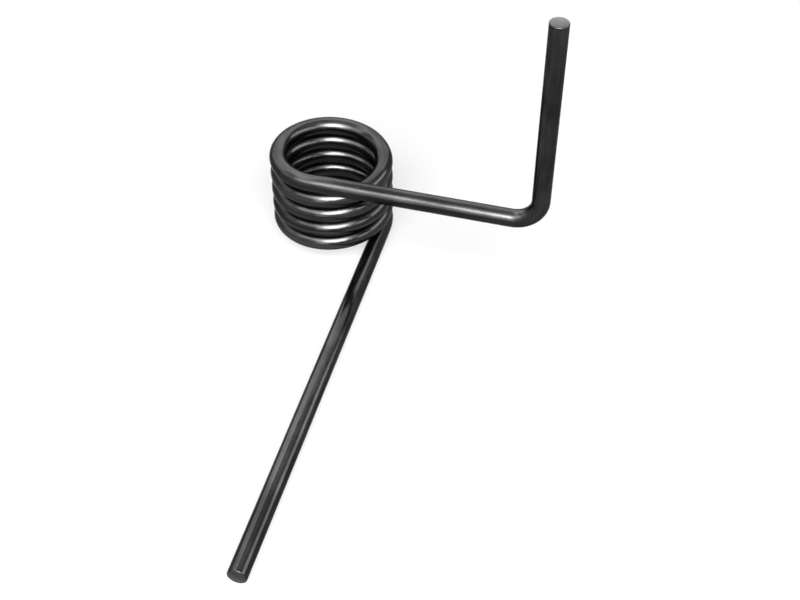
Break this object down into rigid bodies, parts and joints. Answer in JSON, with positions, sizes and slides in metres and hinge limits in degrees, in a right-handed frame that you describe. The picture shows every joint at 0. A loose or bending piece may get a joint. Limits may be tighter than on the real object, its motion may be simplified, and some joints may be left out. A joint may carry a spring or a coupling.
{
  "type": "torsion spring",
  "caption": "Right-hand torsion spring of round spring-steel wire: a coil with a long straight leg level with its base and an arm at its top that turns up at a right angle.",
  "frame": {"origin": "on the coil's axis, level with the underside of the lower leg, which is the lowest line of the spring", "axes": "+Z along the coil's axis, towards the upright; the lower leg points along -Y and the arm along +X"},
  "size_m": [0.033, 0.0567, 0.0358],
  "materials": {
    "spring_steel": "oil-tempered spring steel: dark grey oxide over a drawn, glossy surface, bare metal at the two cut ends"
  },
  "bodies": {
    "root": {"spring_wire": "spring_steel"}
  },
  "joints": []
}
